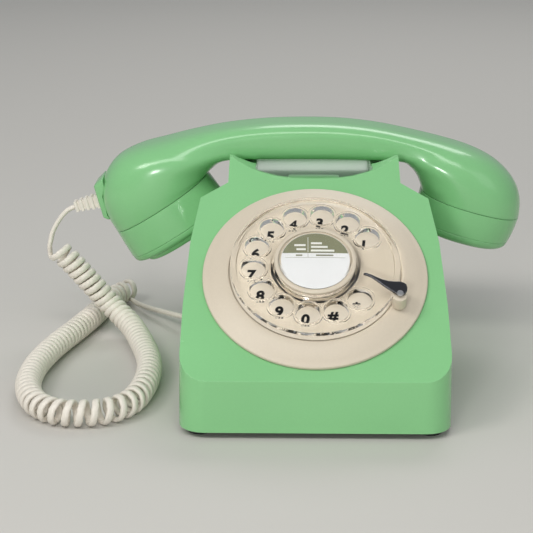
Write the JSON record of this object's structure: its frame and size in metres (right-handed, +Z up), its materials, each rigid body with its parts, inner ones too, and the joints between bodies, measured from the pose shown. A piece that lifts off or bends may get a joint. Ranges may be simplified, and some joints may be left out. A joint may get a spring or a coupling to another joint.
{
  "type": "rotary telephone",
  "caption": "Desk telephone with a rotary dial on its sloping face, a handset across the cradle on top and a curled handset cord.",
  "frame": {"origin": "on the table under the middle of the telephone", "axes": "+X to the right of someone facing the dial, -Y towards them, +Z up"},
  "size_m": [0.2685, 0.2152, 0.1252],
  "materials": {
    "case_shell_finish": "smooth moulded plastic",
    "base_plate_finish": "painted sheet steel",
    "foot_front_left_finish": "rubber",
    "foot_front_right_finish": "rubber",
    "foot_rear_left_finish": "rubber",
    "foot_rear_right_finish": "rubber",
    "case_screw_left_finish": "plated steel",
    "case_screw_right_finish": "plated steel",
    "dial_bezel_finish": "moulded plastic",
    "number_plate_finish": "moulded plastic",
    "stop_post_finish": "moulded plastic",
    "finger_stop_finish": "dark chrome",
    "stop_screw_finish": "plated steel",
    "finger_wheel_finish": "clear plastic",
    "wheel_hub_finish": "moulded plastic",
    "label_card_finish": "card",
    "label_cover_finish": "clear plastic",
    "dial_spindle_finish": "plated steel",
    "main_gear_finish": "brass",
    "dial_frame_finish": "plated steel",
    "return_spring_finish": "plated steel",
    "governor_shaft_finish": "plated steel",
    "governor_pinion_finish": "brass",
    "governor_weights_finish": "brass",
    "pulse_shaft_finish": "plated steel",
    "pulse_pinion_finish": "brass",
    "pulse_cam_finish": "nylon",
    "hook_tab_finish": "smooth moulded plastic",
    "hook_stem_finish": "nylon",
    "hook_spring_finish": "plated steel",
    "hook_switch_finish": "moulded plastic",
    "switch_bracket_finish": "plated steel",
    "gong_post_left_finish": "plated steel",
    "gong_post_right_finish": "plated steel",
    "gong_left_finish": "brass",
    "gong_right_finish": "brass",
    "ringer_frame_finish": "plated steel",
    "ringer_coil_finish": "wound copper",
    "clapper_arm_finish": "plated steel",
    "clapper_ball_finish": "brass",
    "clapper_pin_finish": "plated steel",
    "ringer_knob_finish": "moulded plastic",
    "circuit_board_finish": "laminate",
    "line_transformer_finish": "wound copper",
    "terminal_block_finish": "nylon",
    "capacitor_finish": "moulded plastic",
    "line_socket_finish": "moulded plastic",
    "handset_shell_finish": "smooth moulded plastic",
    "mouthpiece_cap_finish": "smooth moulded plastic",
    "earpiece_cap_finish": "smooth moulded plastic",
    "transmitter_capsule_finish": "plated steel",
    "receiver_capsule_finish": "plated steel",
    "handset_weight_finish": "plated steel",
    "cord_boss_finish": "smooth moulded plastic",
    "strain_relief_finish": "moulded plastic",
    "cord_handset_lead_finish": "moulded plastic",
    "curly_cord_finish": "moulded plastic",
    "cord_base_lead_finish": "moulded plastic",
    "cord_bush_finish": "moulded plastic"
  },
  "bodies": {
    "base": {"case_shell": "case_shell_finish", "base_plate": "base_plate_finish", "foot_front_left": "foot_front_left_finish", "foot_front_right": "foot_front_right_finish", "foot_rear_left": "foot_rear_left_finish", "foot_rear_right": "foot_rear_right_finish", "case_screw_left": "case_screw_left_finish", "case_screw_right": "case_screw_right_finish", "dial_bezel": "dial_bezel_finish", "number_plate": "number_plate_finish", "stop_post": "stop_post_finish", "finger_stop": "finger_stop_finish", "stop_screw": "stop_screw_finish", "dial_frame": "dial_frame_finish", "return_spring": "return_spring_finish", "hook_spring": "hook_spring_finish", "hook_switch": "hook_switch_finish", "switch_bracket": "switch_bracket_finish", "gong_post_left": "gong_post_left_finish", "gong_post_right": "gong_post_right_finish", "gong_left": "gong_left_finish", "gong_right": "gong_right_finish", "ringer_frame": "ringer_frame_finish", "ringer_coil": "ringer_coil_finish", "clapper_pin": "clapper_pin_finish", "circuit_board": "circuit_board_finish", "line_transformer": "line_transformer_finish", "terminal_block": "terminal_block_finish", "capacitor": "capacitor_finish", "line_socket": "line_socket_finish", "curly_cord": "curly_cord_finish", "cord_base_lead": "cord_base_lead_finish", "cord_bush": "cord_bush_finish"},
    "dial": {"finger_wheel": "finger_wheel_finish", "wheel_hub": "wheel_hub_finish", "label_card": "label_card_finish", "label_cover": "label_cover_finish", "dial_spindle": "dial_spindle_finish", "main_gear": "main_gear_finish"},
    "governor": {"governor_shaft": "governor_shaft_finish", "governor_pinion": "governor_pinion_finish", "governor_weights": "governor_weights_finish"},
    "pulse": {"pulse_shaft": "pulse_shaft_finish", "pulse_pinion": "pulse_pinion_finish", "pulse_cam": "pulse_cam_finish"},
    "hook": {"hook_tab": "hook_tab_finish", "hook_stem": "hook_stem_finish"},
    "clapper": {"clapper_arm": "clapper_arm_finish", "clapper_ball": "clapper_ball_finish"},
    "ringer_switch": {"ringer_knob": "ringer_knob_finish"},
    "handset": {"handset_shell": "handset_shell_finish", "mouthpiece_cap": "mouthpiece_cap_finish", "earpiece_cap": "earpiece_cap_finish", "transmitter_capsule": "transmitter_capsule_finish", "receiver_capsule": "receiver_capsule_finish", "handset_weight": "handset_weight_finish", "cord_boss": "cord_boss_finish", "strain_relief": "strain_relief_finish", "cord_handset_lead": "cord_handset_lead_finish"}
  },
  "joints": [
    {"name": "handset_lift", "type": "slide", "parent": "base", "child": "handset", "axis": [0, 0, 1], "range_m": [0, 0.11]},
    {"name": "dial_turn", "type": "hinge", "parent": "base", "child": "dial", "pos_m": [0.0024, -0.051, 0.06604], "axis": [0, 0.5779, -0.8161], "range_deg": [0, 325], "stiffness_Nm_per_rad": 0.012, "springref_deg": -57.3},
    {"name": "governor_turn", "type": "hinge", "parent": "base", "child": "governor", "pos_m": [-0.01631, -0.04219, 0.07228], "axis": [0, 0.5779, -0.8161], "range_deg": [-1400, 0]},
    {"name": "pulse_turn", "type": "hinge", "parent": "base", "child": "pulse", "pos_m": [0.02693, -0.04371, 0.0712], "axis": [0, 0.5779, -0.8161], "range_deg": [-660, 0]},
    {"name": "hook_travel", "type": "slide", "parent": "base", "child": "hook", "axis": [0, 0, 1], "range_m": [0, 0.004]},
    {"name": "clapper_swing", "type": "hinge", "parent": "base", "child": "clapper", "pos_m": [0.0024, 0.04, 0.0275], "axis": [0, 0, 1], "range_deg": [-6, 6]},
    {"name": "ringer_knob_slide", "type": "slide", "parent": "base", "child": "ringer_switch", "axis": [1, 0, 0], "range_m": [-0.005, 0.005]}
  ],
  "couplings": [
    {"joint": "governor_turn", "follows": "dial_turn", "ratio": -4.25},
    {"joint": "pulse_turn", "follows": "dial_turn", "ratio": -2},
    {"joint": "hook_travel", "follows": "handset_lift", "ratio": 0.036363}
  ]
}
